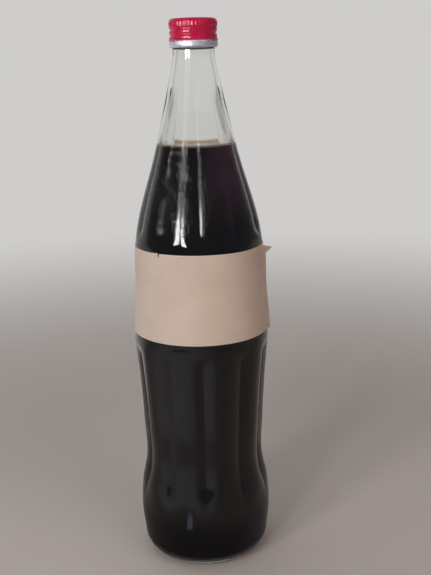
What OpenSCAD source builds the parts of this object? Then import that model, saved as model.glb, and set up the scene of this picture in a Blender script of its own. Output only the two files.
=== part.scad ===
/* [Body outline] */
// Largest diameter of the belly
body_d = 83.2; // [75:0.2:91]
// Height of the rounded heel
heel_h = 12.6; // [8:0.1:16]
// How far the top of the heel lies inside the belly's radius
heel_in = 1.5; // [0:0.1:6]
// Rise from the heel to the belly
belly_rise = 17.4; // [12:0.1:24]
// Rise from the belly to its upper edge
belly_top_rise = 16; // [12:0.1:22]
// How far the belly's upper edge lies inside the belly's radius
belly_top_in = 1.2; // [0:0.1:4]
// Rise from the belly's upper edge to the lower waist
waist_low_rise = 15; // [10:0.1:22]
// How far the lower waist lies inside the belly's radius
waist_low_in = 4.4; // [0:0.1:8]
// Rise from the lower waist to the upper waist
waist_rise = 30; // [20:0.5:40]
// How far the upper waist lies inside the belly's radius
waist_in = 4; // [0:0.1:8]
// Rise from the upper waist to the flare
flare_rise = 23; // [16:0.5:30]
// How far the flare lies inside the belly's radius
flare_in = 2.7; // [0:0.1:6]

/* [Label panel] */
// Rise from the flare to the lower end of the panel
panel_rise = 36; // [28:0.5:44]
// How far the panel's lower end lies inside the belly's radius
panel_low_in = 0.4; // [0:0.1:4]
// Height of the smooth label panel
panel_h = 54; // [40:0.5:70]
// How far the middle of the panel lies inside the belly's radius
panel_mid_in = 2.35; // [0:0.05:6]
// How far the panel's upper end lies inside the belly's radius
panel_top_in = 3.2; // [0:0.1:7]

/* [Neck] */
// Rise from the panel to the lower neck
neck_low_rise = 57; // [46:0.5:68]
// Diameter of the lower neck
neck_low_d = 47.2; // [40:0.2:56]
// Rise from the lower neck to the middle of the neck
neck_mid_rise = 35; // [28:0.5:44]
// Diameter at the middle of the neck
neck_mid_d = 30.7; // [28:0.1:36]
// Rise from the middle of the neck to its thin end
neck_end_rise = 10; // [6:0.5:16]
// Diameter at the thin end of the neck
neck_end_d = 26.3; // [25.4:0.1:28]
// Rise from the thin end to the collar below the screw finish
collar_rise = 6; // [4:0.1:10]

/* [Lobes] */
// Number of rounded lobes around the bottle
lobe_count = 10; // [6:1:16]
// Depth of the grooves between the lobes, as a share of the radius
lobe_share = 0.048; // [0.02:0.002:0.06]
// Angle of one groove from the +X axis
lobe_angle = -89.5; // [-180:0.5:180]
// How far the lower lobes stand proud of the label panel
lobe_proud = 0.5; // [0:0.05:0.8]
// Height over which the lobes fade in above the belly
lobe_foot_fade = 24; // [8:0.5:30]
// Height over which the grooves run out below the panel
groove_fade = 10; // [5:0.5:20]
// Height of the rounded heads of the lobes below the panel
lobe_head = 3.5; // [2:0.5:8]
// How much lower a lobe's head ends at the grooves than at its middle
lobe_arch = 4; // [0:0.5:8]
// Plain strip between the lobes and the label panel
lobe_margin = 2.5; // [1:0.5:5]
// Height over which the shoulder's grooves fade in
shoulder_fade = 8; // [5:0.5:20]
// Height over which the grooves fade out along the upper neck
neck_fade = 22; // [12:0.5:30]

/* [Glass] */
// Thinnest wall, behind the grooves
glass_wall = 2.6; // [1.8:0.1:4]
// Height of the inner floor at the centre
floor_h = 6.6; // [5:0.1:10]
// Radius of the inner heel
inner_heel_r = 10; // [6:0.5:16]
// Rise of the hollow under the base
punt_rise = 3.4; // [1:0.1:3.8]
// Radius of the hollow under the base
punt_r = 24.2; // [16:0.1:25.5]

/* [Screw finish] */
// Diameter of the neck below the locking bead
neck_d = 24.3; // [23.8:0.1:24.8]
// Length of the plain neck between the collar and the locking bead
neck_h = 4.4; // [3:0.1:8]
// Diameter of the locking bead
bead_d = 27.5; // [26.8:0.1:28.4]
// Height of the locking bead
bead_h = 3.5; // [3:0.1:5]
// Height of the locking bead's slope on its underside
bead_under = 1.4; // [1:0.1:1.8]
// Height of the locking bead's slope on its upper side
bead_over = 1.1; // [0.6:0.1:1.4]
// Diameter at the root of the thread
root_d = 24.9; // [24.4:0.1:25.4]
// Diameter over the crest of the thread
crest_d = 26.9; // [26.4:0.1:27.2]
// Distance from the locking bead to the rim
finish_h = 11.2; // [10.6:0.1:14]
// Inner diameter of the mouth
bore_d = 18.4; // [14:0.1:19.4]
// Rounding of the rim
rim_round = 0.9; // [0.4:0.1:1.4]
// Lead of the screw thread
pitch = 3.175; // [2.8:0.025:3.6]
// Turns of thread on the glass
glass_turns = 1.7; // [1.2:0.1:2]
// Height of the upper thread end below the rim
thread_drop = 3.6; // [3.2:0.1:4.2]

/* [Cap] */
// Thickness of the sheet aluminium
sheet_t = 0.23; // [0.2:0.01:0.3]
// Radial clearance between the cap and the crest of the glass thread
cap_gap = 0.12; // [0.08:0.01:0.25]
// Rounding of the cap's top edge
cap_round = 1.9; // [1.2:0.1:2.4]
// Depth of the rolled thread groove
groove_depth = 0.55; // [0.3:0.05:0.6]
// Half width of the groove's floor
groove_half = 0.3; // [0.2:0.05:0.5]
// Turns of the rolled thread groove
cap_turns = 1.6; // [1.1:0.1:1.7]
// Outward flare of the lower edge
flare_out = 0.5; // [0.1:0.05:0.7]
// Height of the flared lower edge
flare_h = 1.6; // [1:0.1:1.8]
// Number of grip ribs
rib_count = 44; // [24:1:60]
// Height of a grip rib
rib_out = 0.25; // [0.1:0.05:0.4]
// Length of a grip rib
rib_h = 2.4; // [1.5:0.1:2.6]
// Number of slits above the flared edge
slit_count = 36; // [12:1:40]
// Width of a slit
slit_w = 1; // [0.4:0.1:1.2]
// Height of a slit
slit_h = 0.4; // [0.2:0.05:0.6]

/* [Sealing disc] */
// Thickness of the sealing disc
liner_t = 1; // [0.6:0.1:1.6]
// Gap on each face of the sealing disc
liner_gap = 0.04; // [0.02:0.01:0.1]
// How far the disc reaches past the flat part of the cap's top
liner_reach = 0.1; // [0:0.05:0.2]

/* [Tamper band] */
// Gap between the cap's lower edge and the band
tear_gap = 0.25; // [0.15:0.05:0.5]
// Radial clearance between the band and the locking bead
band_gap = 0.12; // [0.08:0.01:0.3]
// Depth of the line rolled around the band
band_line = 0.12; // [0.05:0.01:0.18]
// Number of torn bridges left on the band
bridge_count = 8; // [4:1:16]
// Width of a torn bridge
bridge_w = 0.8; // [0.4:0.1:1.4]

/* [Paper band] */
// Distance from the panel's lower end to the paper's lower edge
paper_low = -0.5; // [-2:0.1:4]
// Height of the paper band
paper_h = 53; // [30:0.5:54]
// Thickness of the paper
paper_t = 0.15; // [0.1:0.01:0.3]
// Gap between the paper and the glass
paper_gap = 0.12; // [0.1:0.01:0.3]
// Angle at which the paper starts, under its own end
paper_start = -44; // [-180:1:180]
// Angle by which the paper overlaps itself
paper_lap = 28; // [12:1:60]
// Gap between the two layers in the overlap
lap_gap = 0.2; // [0.15:0.01:0.4]
// How far the free end stands off
lap_lift = 0.6; // [0:0.1:2]
// Angle over which the free end stands off
lap_lift_angle = 9; // [4:1:14]

/* [Glue strip] */
// Thickness of the glue strip
glue_t = 0.1; // [0.05:0.01:0.13]
// Angle that the glue strip covers
glue_angle = 12; // [4:1:16]
// Margin of the glue strip above and below
glue_margin = 3; // [1:0.5:10]

/* [Contents] */
// Height of the liquid level above the panel's upper end
fill_rise = 58; // [10:0.5:70]
// Clearance between the liquid and the glass
fill_gap = 0.08; // [0.05:0.01:0.2]

/* [Hidden] */

// Facets of the skin, per lobe, and of the turned shapes
lobe_facets = 8;
round_fn = 96;
// Straight pieces of the inner wall's outline
wall_rows = 44;
// Overshoot of a cut past the face it opens
past = 1;
// Small step that keeps two turned surfaces from coinciding
step = 0.05;

// Heights of the outline's stations
belly_z = heel_h + belly_rise;
belly_top_z = belly_z + belly_top_rise;
waist_low_z = belly_top_z + waist_low_rise;
waist_z = waist_low_z + waist_rise;
flare_z = waist_z + flare_rise;
panel_z = flare_z + panel_rise;
panel_top_z = panel_z + panel_h;
neck_low_z = panel_top_z + neck_low_rise;
neck_mid_z = neck_low_z + neck_mid_rise;
neck_end_z = neck_mid_z + neck_end_rise;
collar_z = neck_end_z + collar_rise;

// Ends of the lobes and of the grooves between them
foot_z = belly_top_z - lobe_foot_fade / 2;
foot_end_z = foot_z + lobe_foot_fade;
head_z = panel_z - lobe_margin;
shoulder_z = panel_top_z + lobe_margin;

// Outline over the lobes: height and radius of each station
body_r = body_d / 2;
stations = [
    [heel_h, body_r - heel_in],
    [belly_z, body_r],
    [belly_top_z, body_r - belly_top_in],
    [waist_low_z, body_r - waist_low_in],
    [waist_z, body_r - waist_in],
    [flare_z, body_r - flare_in],
    [panel_z, body_r - panel_low_in],
    [panel_z + panel_h / 2, body_r - panel_mid_in],
    [panel_top_z, body_r - panel_top_in],
    [neck_low_z, neck_low_d / 2],
    [neck_mid_z, neck_mid_d / 2],
    [neck_end_z, neck_end_d / 2],
    [collar_z, neck_d / 2 + step]
];
last = len(stations) - 1;

// Screw finish; its turned shape starts inside the lobed skin, finish_root below the collar
finish_root = 9;
bead_z = collar_z + neck_h;
bead_fillet = 0.45;
root_z = bead_z + bead_h;
rim_z = root_z + finish_h;
root_r = root_d / 2;
crest_r = crest_d / 2;
bore_r = bore_d / 2;
thread_top = rim_z - thread_drop;
// Half widths of the glass thread at its crest and at its root
crest_half = 0.4;
root_half = 0.9;
// Depth to which the thread is sunk into the glass, and to which its ends dive
thread_sunk = 0.5;
thread_dive = 0.2;
// Angle of the thread's upper end, and the angle over which each end runs out
thread_end = 160;
run_out = 25;

// Cap, from its wall outwards and its top downwards; the band ends band_slack below the bead's ends
band_slack = 0.1;
cap_in_r = crest_r + cap_gap;
cap_out_r = cap_in_r + sheet_t;
cap_in_top = rim_z + liner_t + 2 * liner_gap;
cap_top_z = cap_in_top + sheet_t;
band_top_z = root_z - band_slack;
cap_low_z = band_top_z + tear_gap;
rib_z = cap_top_z - cap_round - rib_h;
slit_z = cap_low_z + flare_h - slit_h;
groove_slope = 0.82;
flare_edge = 0.5;
// Reach of the tool that cuts the groove past the wall, and extra width of the ridge inside it
groove_reach = 0.6;
ridge_extra = 0.15;
// Angle of the rolled groove's upper end
groove_end = 350;

// Tamper band
band_in_r = bead_d / 2 + band_gap;
band_out_r = band_in_r + sheet_t;
band_low_z = bead_z - band_slack;
tuck_h = 0.95;
tuck_in = 1.1;
tuck_edge = 0.16;
line_drop = 0.7;
line_half = 0.15;
bridge_share = 0.8;

// Paper band and contents
paper_z = panel_z + paper_low;
paper_turn = 360 + paper_lap;
// Turns between which the outer layer climbs onto the paper's own start
lap_rise_a = 320;
lap_rise_end = 10;
// Angle between the glue and the part of the end that stands off
glue_back = 3;
// Heights of the glue's rows of points, which the paper shares
glue_rows = [for (i = [0:6]) paper_z + glue_margin + (paper_h - 2 * glue_margin) * i / 6];
fill_z = panel_top_z + fill_rise;

// Smooth step from 0 at a to 1 at b
function ease(a, b, v) = let (t = min(1, max(0, (v - a) / (b - a)))) t * t * (3 - 2 * t);

// n values that follow a, the last of them b
function steps(a, b, n) = [for (i = [1:n]) a + (b - a) * i / n];

// Slope of the outline between stations i and i + 1, and at station i
function chord(i) = (stations[i + 1][1] - stations[i][1]) / (stations[i + 1][0] - stations[i][0]);
function span(i) = stations[i + 1][0] - stations[i][0];
function slope(i) =
    i == 0 ? chord(0) :
    i == last ? 0 :
    (chord(i - 1) * span(i) + chord(i) * span(i - 1)) / (span(i - 1) + span(i));

// Cubic between two stations, t from 0 to 1
function blend(i, t) =
    (2 * pow(t, 3) - 3 * t * t + 1) * stations[i][1]
    + (pow(t, 3) - 2 * t * t + t) * span(i) * slope(i)
    + (3 * t * t - 2 * pow(t, 3)) * stations[i + 1][1]
    + (pow(t, 3) - t * t) * span(i) * slope(i + 1);

// Radius over the lobes at height z, with the heel as a quarter circle
function station_at(z, i = 0) = i >= last - 1 || z < stations[i + 1][0] ? i : station_at(z, i + 1);
function outline(z) =
    z < heel_h ? stations[0][1] - heel_h + sqrt(max(0, heel_h * heel_h - pow(heel_h - z, 2))) :
    let (i = station_at(z)) blend(i, (z - stations[i][0]) / span(i));

// Share of the full relief at height z, for the body, where it fades out over fade below the
// panel, and for the shoulder and neck; side is 0 in the middle of a lobe and 1 in a groove
function body_share(z, side, fade) =
    ease(foot_z, foot_end_z, z) * (1 - ease(head_z - fade, head_z, z + lobe_arch * side));
function neck_share(z) =
    ease(shoulder_z, shoulder_z + shoulder_fade, z) * (1 - ease(neck_end_z - neck_fade, neck_end_z, z));

// Outer radius of the skin at height z
function skin_r(z, side) =
    outline(z) + lobe_proud * (1 - side) * body_share(z, side, lobe_head)
    - lobe_share * outline(z) * side * max(body_share(z, side, groove_fade), neck_share(z));

// Inner radius of the glass at height z
function inner_r(z) = max(bore_r, skin_r(z, 1) - glass_wall);

// Points of a ring of n points at height z
function skin_ring(z, n) = [
    for (i = [0:n - 1])
    let (
        side = pow(2 * (i % lobe_facets) / lobe_facets - 1, 2),
        a = lobe_angle + 360 * i / n,
        r = skin_r(z, side)
    )
    [r * cos(a), r * sin(a), z]
];

// Side faces between rings of n points, for m rings in all
function side_faces(n, m) = [
    for (j = [0:m - 2], i = [0:n - 1])
    let (a = j * n + i, b = j * n + (i + 1) % n)
    each [[a, a + n, b], [b, a + n, b + n]]
];

// Heights of the skin's rings, closest where the lobes end
skin_z = concat(
    [for (i = [0:7]) heel_h * (1 - cos(90 * i / 7))],
    steps(heel_h, foot_z, 4),
    steps(foot_z, foot_end_z, 5),
    steps(foot_end_z, head_z - groove_fade - lobe_arch, 8),
    steps(head_z - groove_fade - lobe_arch, head_z, 11),
    steps(head_z, panel_top_z, 6),
    steps(panel_top_z, shoulder_z + shoulder_fade, 5),
    steps(shoulder_z + shoulder_fade, collar_z, 12)
);

// Solid inside the lobed outer surface, up to the collar
module lobed_skin() {
    n = lobe_count * lobe_facets;
    m = len(skin_z);
    bottom = [for (i = [0:n - 1]) i];
    top = [for (i = [n - 1:-1:0]) (m - 1) * n + i];
    polyhedron(
        points = [for (z = skin_z) each skin_ring(z, n)],
        faces = concat([bottom, top], side_faces(n, m)),
        convexity = 8
    );
}

// Neck, locking bead and rim as one turned shape
module finish() {
    arc = [for (a = [0:15:90]) [root_r - rim_round * (1 - cos(a)), rim_z - rim_round * (1 - sin(a))]];
    bead_r = bead_d / 2;
    rotate_extrude($fn = round_fn)
        polygon(concat(
            [
                [0, collar_z - finish_root], [bore_r, collar_z - finish_root], [neck_d / 2, collar_z],
                [neck_d / 2, bead_z], [neck_d / 2 + bead_fillet, bead_z + bead_fillet],
                [bead_r, bead_z + bead_under], [bead_r, root_z - bead_over], [root_r, root_z]
            ],
            arc,
            [[0, rim_z]]
        ));
}

// Helical bar of trapezoid section between radii r0 and r1, half widths h0 and h1
module helical_bar(r0, r1, h0, h1, hidden_r, z_end, a_end, turns) {
    n = ceil(turns * 30);
    function fade(i) = ease(0, run_out, 360 * turns * min(i, n - i) / n);
    points = [
        for (i = [0:n])
        let (
            back = 360 * turns * (n - i) / n,
            a = a_end - back,
            z = z_end - pitch * back / 360,
            r = hidden_r + (r1 - hidden_r) * fade(i)
        )
        each [
            [r0 * cos(a), r0 * sin(a), z - h0], [r * cos(a), r * sin(a), z - h1],
            [r * cos(a), r * sin(a), z + h1], [r0 * cos(a), r0 * sin(a), z + h0]
        ]
    ];
    sides = [
        for (i = [0:n - 1], k = [0:3])
        let (a = 4 * i + k, b = 4 * i + (k + 1) % 4)
        each [[a, b, a + 4], [b, b + 4, a + 4]]
    ];
    inward = r1 < r0;
    caps = [[3, 2, 1, 0], [4 * n, 4 * n + 1, 4 * n + 2, 4 * n + 3]];
    faces = concat(sides, caps);
    polyhedron(points, inward ? [for (f = faces) [for (k = [len(f) - 1:-1:0]) f[k]]] : faces, 10);
}

// Thread on the glass
module glass_thread() {
    helical_bar(
        r0 = root_r - thread_sunk, r1 = crest_r, h0 = root_half, h1 = crest_half,
        hidden_r = root_r - thread_dive, z_end = thread_top, a_end = thread_end, turns = glass_turns
    );
}

// Hollow of the bottle shrunk by gap, from the inner floor to above the rim
module hollow(gap) {
    heel_z = floor_h + inner_heel_r;
    heel_x = inner_r(heel_z) - inner_heel_r;
    arc = [
        for (a = [-90:10:0])
        [heel_x + (inner_heel_r - gap) * cos(a), heel_z + (inner_heel_r - gap) * sin(a)]
    ];
    walls = [for (z = steps(heel_z, collar_z, wall_rows)) [inner_r(z) - gap, z]];
    rotate_extrude($fn = round_fn)
        polygon(concat([[0, floor_h + gap]], arc, walls, mouth, [[0, rim_z + past]]));
}

// Outline of the bore above the collar, with the rounded inner edge of the rim
mouth = concat(
    [for (a = [0:15:75]) [bore_r + rim_round * (1 - cos(a)), rim_z - rim_round * (1 - sin(a))]],
    [[bore_r + rim_round, rim_z + past]]
);

// Shallow spherical hollow that leaves a standing ring
module punt() {
    ball_r = (punt_r * punt_r + punt_rise * punt_rise) / (2 * punt_rise);
    translate([0, 0, punt_rise - ball_r])
        sphere(r = ball_r, $fn = 180);
}

module glass_bottle() {
    color([0.82, 0.86, 0.84, 0.35])
        difference() {
            union() {
                lobed_skin();
                finish();
                glass_thread();
            }
            hollow(0);
            punt();
        }
}

module soda() {
    color([0.09, 0.03, 0.02])
        intersection() {
            hollow(fill_gap);
            cylinder(r = body_r, h = fill_z);
        }
}

// Outer surface of the cap shifted inwards by inset, as one turned solid
module cap_solid(inset, low) {
    r = cap_out_r - inset;
    top = cap_top_z - inset;
    bend = cap_round - inset;
    arc = [for (a = [0:15:90]) [r - bend * (1 - cos(a)), top - bend * (1 - sin(a))]];
    flare_top = cap_low_z + flare_h;
    rotate_extrude($fn = round_fn)
        polygon(concat(
            [[0, low], [r + flare_out, low], [r + flare_out, cap_low_z + flare_edge], [r, flare_top]],
            arc,
            [[0, top]]
        ));
}

// Outline of the grip ribs, rising and falling between two radii
module rib_outline() {
    low_r = cap_out_r - rib_out / 2 + step;
    high_r = cap_out_r + rib_out;
    polygon([
        for (i = [0:2 * rib_count - 1])
        let (r = i % 2 == 0 ? high_r : low_r, a = 180 * i / rib_count) [r * cos(a), r * sin(a)]
    ]);
}

// The rolled thread of the cap lies half a pitch below the thread on the glass
module rolled_bar(r0, r1, h0, h1, hidden_r) {
    helical_bar(
        r0 = r0, r1 = r1, h0 = h0, h1 = h1, hidden_r = hidden_r,
        z_end = thread_top + pitch * ((groove_end - thread_end) / 360 - 0.5), a_end = groove_end,
        turns = cap_turns
    );
}

module cap_shell() {
    groove_r = cap_out_r - groove_depth;
    ridge_r = groove_r - sheet_t;
    ridge_half = groove_half + ridge_extra;
    ridge_base_r = cap_in_r + sheet_t / 2;
    ridge_base_half = ridge_half + groove_slope * (ridge_base_r - ridge_r);
    far_r = cap_out_r + groove_reach;
    color([0.76, 0.04, 0.13])
        difference() {
            union() {
                difference() {
                    union() {
                        cap_solid(0, cap_low_z);
                        translate([0, 0, rib_z])
                            linear_extrude(height = rib_h)
                                rib_outline();
                    }
                    cap_solid(sheet_t, cap_low_z - past);
                }
                rolled_bar(ridge_base_r, ridge_r, ridge_base_half, ridge_half, cap_in_r + sheet_t / 4);
            }
            rolled_bar(
                far_r, groove_r, groove_half + groove_slope * (far_r - groove_r), groove_half,
                cap_out_r + sheet_t / 2
            );
            for (i = [0:slit_count - 1])
                rotate([0, 0, 360 * i / slit_count])
                    translate([cap_out_r, 0, slit_z])
                        cube([3 * sheet_t, slit_w, slit_h], center = true);
        }
}

module cap_liner() {
    color([0.9, 0.9, 0.86])
        translate([0, 0, rim_z + liner_gap])
            cylinder(r = cap_in_r - cap_round + sheet_t + liner_reach, h = liner_t, $fn = round_fn);
}

module tamper_band() {
    line_z = band_top_z - line_drop;
    out = band_out_r;
    color([0.72, 0.75, 0.8]) {
        rotate_extrude($fn = round_fn)
            polygon([
                [out, band_top_z], [out, line_z + line_half], [out - band_line, line_z],
                [out, line_z - line_half], [out, band_low_z + tuck_h], [out - tuck_in, band_low_z],
                [out - tuck_in - tuck_edge, band_low_z + tuck_edge],
                [band_in_r, band_low_z + tuck_h + tuck_edge / 2],
                [band_in_r, band_top_z]
            ]);
        for (i = [0:bridge_count - 1])
            rotate([0, 0, 360 * i / bridge_count])
                translate([band_in_r + step, -bridge_w / 2, band_top_z - step])
                    cube([sheet_t - 2 * step, bridge_w, bridge_share * tear_gap + step]);
    }
}

// How far the paper stands from the panel at a turn of a degrees from its start
function paper_off(a) =
    paper_gap + (paper_t + lap_gap) * ease(lap_rise_a, paper_turn - paper_lap - lap_rise_end, a)
    + lap_lift * ease(paper_turn - lap_lift_angle, paper_turn, a);

// Sheet of thickness t wrapped on the panel, with a row of points at each height in rows and
// n cells between the turns a0 and a1, shifted outwards from the paper's inner face
module wrapped_sheet(rows, a0, a1, n, t, shift) {
    m = len(rows) - 1;
    loop = 2 * len(rows);
    function at(i, z, out) =
        let (
            turn = a0 + (a1 - a0) * i / n,
            r = outline(z) + paper_off(turn) + shift + out,
            a = paper_start + turn
        )
        [r * cos(a), r * sin(a), z];
    points = [
        for (i = [0:n])
        each concat([for (z = rows) at(i, z, t)], [for (j = [m:-1:0]) at(i, rows[j], 0)])
    ];
    sides = [
        for (i = [0:n - 1], k = [0:loop - 1])
        let (a = i * loop + k, b = i * loop + (k + 1) % loop)
        each [[a, b, a + loop], [b, b + loop, a + loop]]
    ];
    start = [for (j = [0:m - 1]) each [[j, loop - 2 - j, j + 1], [j, loop - 1 - j, loop - 2 - j]]];
    end = [for (f = start) [f[0] + n * loop, f[2] + n * loop, f[1] + n * loop]];
    polyhedron(points, concat(sides, start, end), 10);
}

module paper_wrap() {
    color([0.85, 0.78, 0.68])
        wrapped_sheet(concat([paper_z], glue_rows, [paper_z + paper_h]), 0, paper_turn, 100, paper_t, 0);
}

// The glue lies on the first layer, under the end of the paper
module wrap_glue() {
    glue_end = paper_lap - lap_lift_angle - glue_back;
    glue_off = paper_t + (lap_gap - glue_t) / 2;
    color([0.87, 0.84, 0.74])
        wrapped_sheet(glue_rows, glue_end - glue_angle, glue_end, 4, glue_t, glue_off);
}

glass_bottle();
soda();
cap_shell();
cap_liner();
tamper_band();
paper_wrap();
wrap_glue();
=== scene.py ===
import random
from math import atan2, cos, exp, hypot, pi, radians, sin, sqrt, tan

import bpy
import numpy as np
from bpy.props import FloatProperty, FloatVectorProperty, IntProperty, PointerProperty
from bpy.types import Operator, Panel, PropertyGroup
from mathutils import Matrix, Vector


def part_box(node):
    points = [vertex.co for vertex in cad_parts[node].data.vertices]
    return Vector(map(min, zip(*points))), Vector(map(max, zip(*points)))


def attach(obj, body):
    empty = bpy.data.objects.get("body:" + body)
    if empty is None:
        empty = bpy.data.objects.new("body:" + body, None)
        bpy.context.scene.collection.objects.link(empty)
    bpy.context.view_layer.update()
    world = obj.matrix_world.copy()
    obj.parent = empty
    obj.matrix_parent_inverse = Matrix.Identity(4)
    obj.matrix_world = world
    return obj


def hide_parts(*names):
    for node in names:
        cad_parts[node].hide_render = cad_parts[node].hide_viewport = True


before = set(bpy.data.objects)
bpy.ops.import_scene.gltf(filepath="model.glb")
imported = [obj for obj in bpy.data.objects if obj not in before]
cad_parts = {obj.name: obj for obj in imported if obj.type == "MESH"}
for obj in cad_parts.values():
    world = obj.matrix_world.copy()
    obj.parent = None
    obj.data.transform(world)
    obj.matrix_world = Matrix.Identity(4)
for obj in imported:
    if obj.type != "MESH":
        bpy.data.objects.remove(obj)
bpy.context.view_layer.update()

bl_info = {
    "name": "Lobed Soda Bottle",
    "version": (1, 0, 0),
    "blender": (4, 5, 0),
    "location": "View3D > Sidebar > Bottle",
    "description": "Models a lobed glass soda bottle and its stage around the packed frame",
    "category": "Add Mesh",
}

MM = 0.001
TURN = 2 * pi

RIM_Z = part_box("glass_bottle")[1].z
LEVEL_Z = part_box("soda")[1].z
CAP_LOW, CAP_HIGH = (corner.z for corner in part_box("cap_shell"))
BAND_LOW, BAND_HIGH = (corner.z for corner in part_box("tamper_band"))
PAPER_LOW, PAPER_HIGH = (corner.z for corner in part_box("paper_wrap"))


# Sizes and colours that a user would change


def plain_number(name, description, default, subtype="NONE"):
    return FloatProperty(name=name, description=description, subtype=subtype, default=default)


def length(name, description, default):
    return plain_number(name, description, default, "DISTANCE")


def bearing(name, description, degrees):
    return plain_number(name, description, radians(degrees), "ANGLE")


def count(name, description, default):
    return IntProperty(name=name, description=description, default=default)


def shade(name, description, default):
    return FloatVectorProperty(name=name, description=description, subtype="COLOR", default=default)


def stations(name, description, millimetres):
    return FloatVectorProperty(
        name=name,
        description=description,
        size=len(millimetres),
        subtype="XYZ",
        default=[value * MM for value in millimetres],
    )


class GlassSettings(PropertyGroup):
    """Shape of the lobed glass"""

    heights: stations(
        "Station heights",
        "Heights of the stations that the outline over the lobes runs through",
        (12.6, 30, 46, 61, 91, 114, 150, 177, 204, 261, 296, 306, 312),
    )
    radii: stations(
        "Station radii",
        "Distances from the axis of the lobes at the stations",
        (40.1, 41.6, 40.4, 37.2, 37.6, 38.9, 41.2, 39.25, 38.4, 23.6, 15.35, 13.15, 12.2),
    )
    lobe_count: count("Lobes", "Rounded lobes around the bottle", 10)
    lobe_share: plain_number("Groove depth", "Depth of the grooves, over the radius", 0.048, "FACTOR")
    lobe_proud: length("Proud lobes", "How far the lower lobes stand proud", 0.5 * MM)
    lobe_angle: bearing("Groove angle", "Angle of one groove", -89.5)
    wall: length("Wall", "Thinnest wall, behind a groove", 2.6 * MM)
    floor: length("Floor", "Height of the inner floor", 5.4 * MM)
    bore: length("Bore", "Inner radius of the mouth", 9.2 * MM)
    colour: shade("Glass colour", "Colour of the clear glass", (0.985, 0.99, 0.98))


class DrinkSettings(PropertyGroup):
    """Look of the drink"""

    level: length("Level", "Height of the drink's surface", LEVEL_Z)
    deep: shade("Deep colour", "Colour of the drink in the body", (0.0065, 0.0045, 0.0052))
    maroon: shade("Maroon", "Colour of the drink where some light gets into it", (0.14, 0.06, 0.10))
    thin: shade("Thin colour", "Colour of the drink where light comes through", (0.86, 0.68, 0.45))
    bubbles: count("Bubbles", "Bubbles along the surface's edge", 120)


class CapSettings(PropertyGroup):
    """Shape and colour of the screw cap and its band"""

    wall_r: length("Wall radius", "Outer radius of the cap's wall", 13.8 * MM)
    sheet: length("Sheet", "Thickness of the sheet metal", 0.23 * MM)
    round: length("Top rounding", "Rounding of the top edge", 1.9 * MM)
    pitch: length("Pitch", "Lead of the thread", 3.175 * MM)
    groove: length("Groove", "Depth of the rolled thread groove", 0.55 * MM)
    ribs: count("Ribs", "Grip ribs around the cap", 44)
    slits: count("Slits", "Slits above the flared edge", 36)
    bridges: count("Bridges", "Torn bridges on the band", 8)
    colour: shade("Cap colour", "Colour of the lacquer", (0.58, 0.007, 0.065))
    metal: shade("Bare metal", "Colour of the bare aluminium", (0.72, 0.735, 0.84))


class PaperSettings(PropertyGroup):
    """Shape and colour of the paper band"""

    thickness: length("Thickness", "Thickness of the paper", 0.15 * MM)
    gap: length("Gap", "Gap between the paper and the glass", 0.12 * MM)
    start: bearing("Start", "Angle at which the paper starts", -37.5)
    lap: bearing("Lap", "Angle by which the paper overlaps itself", 28)
    lap_gap: length("Lap gap", "Gap between the layers", 0.2 * MM)
    lift: length("Lift", "How far the free end stands off", 1.3 * MM)
    colour: shade("Paper colour", "Colour of the paper", (0.61, 0.50, 0.425))


class StageSettings(PropertyGroup):
    """Camera, lights and floor"""

    camera: FloatVectorProperty(
        name="Camera",
        description="Place of the camera",
        subtype="XYZ",
        default=(0.0, -0.5047, 0.310),
    )
    lens: plain_number("Lens", "Focal length in millimetres", 52.94)
    pitch: bearing("Pitch", "How far the camera looks down", 15.15)
    heading: bearing("Heading", "How far the camera looks to the right", 1.08)
    roll: bearing("Roll", "Roll of the camera", -1.30)
    backdrop: shade("Backdrop", "Colour of the backdrop", (0.62, 0.61, 0.60))
    floor: shade("Floor", "Colour of the floor", (0.60, 0.55, 0.51))
    floor_r: length("Floor radius", "Radius of the floor", 2.6)
    window: plain_number("Window", "Radiance of the window as surfaces mirror it", 26.0)
    window_lamp: plain_number("Window light", "Radiance of the light it casts", 12.5)
    window_turn: bearing("Window turn", "Window light's angle to the camera's left", 33)
    fill: plain_number("Fill", "Power of the fill light in watts", 8.0)
    top: plain_number("Top", "Power of the top light in watts", 4.0)


# Mesh tools


def set_mode(mode):
    bpy.ops.object.mode_set(mode=mode)


def deselect_all():
    if bpy.context.object and bpy.context.object.mode != "OBJECT":
        set_mode("OBJECT")
    bpy.ops.object.select_all(action="DESELECT")


def select_only(obj):
    deselect_all()
    obj.select_set(True)
    bpy.context.view_layer.objects.active = obj


def lathe(name, profile, steps):
    """Closed piece turned about the Z axis from a profile of (radius, height) points."""
    deselect_all()
    bpy.ops.mesh.primitive_plane_add(size=MM, location=(0, 0, 0))
    piece = bpy.context.object
    piece.name = name
    set_mode("EDIT")
    bpy.ops.mesh.select_all(action="SELECT")
    bpy.ops.mesh.merge(type="CENTER")
    bpy.ops.transform.translate(value=(profile[0][0], 0, profile[0][1]))
    for (r0, z0), (r1, z1) in zip(profile, profile[1:]):
        bpy.ops.mesh.extrude_vertices_move(TRANSFORM_OT_translate={"value": (r1 - r0, 0, z1 - z0)})
    bpy.ops.mesh.select_all(action="SELECT")
    bpy.ops.mesh.spin(steps=steps, angle=TURN, center=(0, 0, 0), axis=(0, 0, 1))
    bpy.ops.mesh.select_all(action="SELECT")
    bpy.ops.mesh.remove_doubles(threshold=1e-6)
    bpy.ops.mesh.normals_make_consistent(inside=False)
    set_mode("OBJECT")
    return piece


def points_of(piece):
    co = np.empty(len(piece.data.vertices) * 3)
    piece.data.vertices.foreach_get("co", co)
    return co.reshape(-1, 3)


def set_points(piece, co):
    piece.data.vertices.foreach_set("co", co.ravel())
    piece.data.update()


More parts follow.
